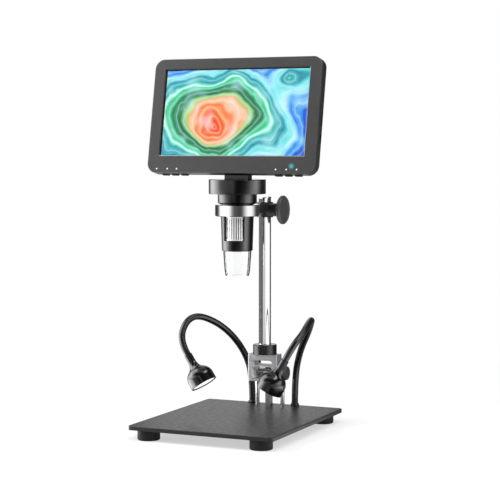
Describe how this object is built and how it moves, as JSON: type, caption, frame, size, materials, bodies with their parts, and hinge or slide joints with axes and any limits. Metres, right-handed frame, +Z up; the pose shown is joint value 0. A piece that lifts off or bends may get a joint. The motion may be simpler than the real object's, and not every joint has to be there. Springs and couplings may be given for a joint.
{
  "type": "lcd digital microscope",
  "caption": "Stand microscope: tilting flat screen on a camera head, held by an arm on a focusing column over a flat stage with flexible-neck lamps.",
  "frame": {"origin": "on the top face of the base plate, where the optical axis meets the stage", "axes": "+Z up along the optical axis, -Y towards the viewer, +X to the viewer's right"},
  "size_m": [0.179, 0.18, 0.3667],
  "materials": {
    "plate_black": "satin dark grey powder coat",
    "rubber": "matte black rubber",
    "steel": "bright steel",
    "dark_metal": "black anodised, satin",
    "gooseneck_black": "black coated spiral sheath",
    "brass": "machined brass",
    "silver_cast": "satin silver casting",
    "chrome": "polished chrome",
    "black_matte": "moulded matte black",
    "arm_black": "black anodised casting",
    "black_gloss": "polished black",
    "clear_plastic": "clear moulded plastic",
    "led_lens": "clear LED lens",
    "circuit_board": "green solder mask",
    "glass": "clear glass",
    "lamp_window": "frosted white plastic",
    "bezel_grey": "fine-textured dark grey plastic",
    "case_black": "moulded black, fine texture",
    "display": "lit display",
    "battery_wrap": "silver pouch",
    "socket_metal": "stamped steel",
    "button_black": "matte black plastic"
  },
  "bodies": {
    "stand": {"base_plate": "plate_black", "rubber_feet": "rubber", "base_screws": "steel", "guide_rods": "steel", "rod_caps": "dark_metal", "rack_bar": "steel", "lamp_sockets": "dark_metal", "gooseneck_lower_left": "gooseneck_black", "gooseneck_lower_right": "gooseneck_black"},
    "carriage": {"focus_bracket": "silver_cast", "guide_bushes": "brass", "column": "chrome", "column_nut": "dark_metal", "column_cap": "chrome"},
    "focus_drive": {"pinion_shaft": "steel", "pinion": "steel", "focus_knob": "black_matte"},
    "slider": {"clamp_liner": "black_matte"},
    "arm": {"support_arm": "arm_black", "arm_ring": "chrome", "arm_screw": "steel"},
    "lock": {"lock_screw": "steel", "lock_knob": "black_matte"},
    "head": {"barrel_housing": "black_gloss", "neck_ring": "black_gloss", "collar": "black_gloss", "neck_block": "black_gloss", "hinge_pin": "steel", "clear_cone": "clear_plastic", "led_board": "circuit_board", "cone_leds": "led_lens", "lens_guide": "black_matte", "sensor_board": "circuit_board"},
    "focus_ring": {"focus_wheel": "chrome"},
    "lens": {"lens_barrel": "black_matte", "objective_lens": "glass"},
    "screen": {"front_bezel": "bezel_grey", "rear_cover": "case_black", "cover_glass": "glass", "lcd_panel": "display", "main_board": "circuit_board", "battery": "battery_wrap", "status_led": "led_lens", "case_screws": "steel", "side_sockets": "socket_metal"},
    "lamp_arm_left": {"gooseneck_upper_left": "gooseneck_black"},
    "lamp_left": {"lamp_shell_left": "black_gloss", "lamp_board_left": "circuit_board", "lamp_lens_left": "lamp_window"},
    "lamp_arm_right": {"gooseneck_upper_right": "gooseneck_black"},
    "lamp_right": {"lamp_shell_right": "black_gloss", "lamp_board_right": "circuit_board", "lamp_lens_right": "lamp_window"},
    "button_1": {"button_1": "button_black"},
    "button_2": {"button_2": "button_black"},
    "button_3": {"button_3": "button_black"},
    "button_4": {"button_4": "button_black"},
    "button_5": {"button_5": "button_black"},
    "button_6": {"button_6": "button_black"}
  },
  "joints": [
    {"name": "focus_slide", "type": "slide", "parent": "stand", "child": "carriage", "axis": [0, 0, 1], "range_m": [-0.012, 0.004]},
    {"name": "focus_knob_turn", "type": "hinge", "parent": "carriage", "child": "focus_drive", "pos_m": [0.021, 0.072, 0.0355], "axis": [1, 0, 0], "range_deg": [-84, 243]},
    {"name": "height_slide", "type": "slide", "parent": "carriage", "child": "slider", "axis": [0, 0, 1], "range_m": [-0.06, 0.004]},
    {"name": "arm_swing", "type": "hinge", "parent": "slider", "child": "arm", "pos_m": [0, 0.067, 0.2025], "axis": [0, 0, 1], "range_deg": [-30, 30]},
    {"name": "lock_knob_turn", "type": "hinge", "parent": "arm", "child": "lock", "pos_m": [0.018, 0.067, 0.2024], "axis": [1, 0, 0], "range_deg": [-45, 315]},
    {"name": "head_swivel", "type": "hinge", "parent": "arm", "child": "head", "pos_m": [0, 0, 0.204], "axis": [0, 0, 1], "range_deg": [-45, 45]},
    {"name": "focus_wheel_spin", "type": "hinge", "parent": "head", "child": "focus_ring", "pos_m": [0, 0, 0.1865], "axis": [0, 0, 1], "range_deg": [-135, 135]},
    {"name": "lens_focus", "type": "slide", "parent": "head", "child": "lens", "axis": [0, 0, 1], "range_m": [-0.003, 0.003]},
    {"name": "screen_tilt", "type": "hinge", "parent": "head", "child": "screen", "pos_m": [0, 0.004, 0.248], "axis": [-1, 0, 0], "range_deg": [-10, 30]},
    {"name": "lamp_bend_left", "type": "hinge", "parent": "stand", "child": "lamp_arm_left", "pos_m": [-0.0495, 0.046, 0.08875], "axis": [0, 0, 1], "range_deg": [-20, 20]},
    {"name": "lamp_tilt_left", "type": "hinge", "parent": "lamp_arm_left", "child": "lamp_left", "pos_m": [-0.0553, 0.0009, 0.0594], "axis": [0.0597, 0.9982, 0], "range_deg": [-20, 20]},
    {"name": "lamp_bend_right", "type": "hinge", "parent": "stand", "child": "lamp_arm_right", "pos_m": [0.052, 0.062, 0.08675], "axis": [0, 0, 1], "range_deg": [-20, 20]},
    {"name": "lamp_tilt_right", "type": "hinge", "parent": "lamp_arm_right", "child": "lamp_right", "pos_m": [0.0506, 0.0015, 0.0594], "axis": [0.1062, -0.9943, 0], "range_deg": [-20, 20]},
    {"name": "button_1_press", "type": "slide", "parent": "screen", "child": "button_1", "axis": [0, 0.1874, 0.9823], "range_m": [0, 0.0006], "stiffness_N_per_m": 800},
    {"name": "button_2_press", "type": "slide", "parent": "screen", "child": "button_2", "axis": [0, 0.1874, 0.9823], "range_m": [0, 0.0006], "stiffness_N_per_m": 800},
    {"name": "button_3_press", "type": "slide", "parent": "screen", "child": "button_3", "axis": [0, 0.1874, 0.9823], "range_m": [0, 0.0006], "stiffness_N_per_m": 800},
    {"name": "button_4_press", "type": "slide", "parent": "screen", "child": "button_4", "axis": [0, 0.1874, 0.9823], "range_m": [0, 0.0006], "stiffness_N_per_m": 800},
    {"name": "button_5_press", "type": "slide", "parent": "screen", "child": "button_5", "axis": [0, 0.1874, 0.9823], "range_m": [0, 0.0006], "stiffness_N_per_m": 800},
    {"name": "button_6_press", "type": "slide", "parent": "screen", "child": "button_6", "axis": [0, 0.1874, 0.9823], "range_m": [0, 0.0006], "stiffness_N_per_m": 800}
  ],
  "couplings": [
    {"joint": "focus_knob_turn", "follows": "focus_slide", "rad_per_m": -333.33},
    {"joint": "lens_focus", "follows": "focus_wheel_spin", "m_per_rad": 0.00127}
  ]
}
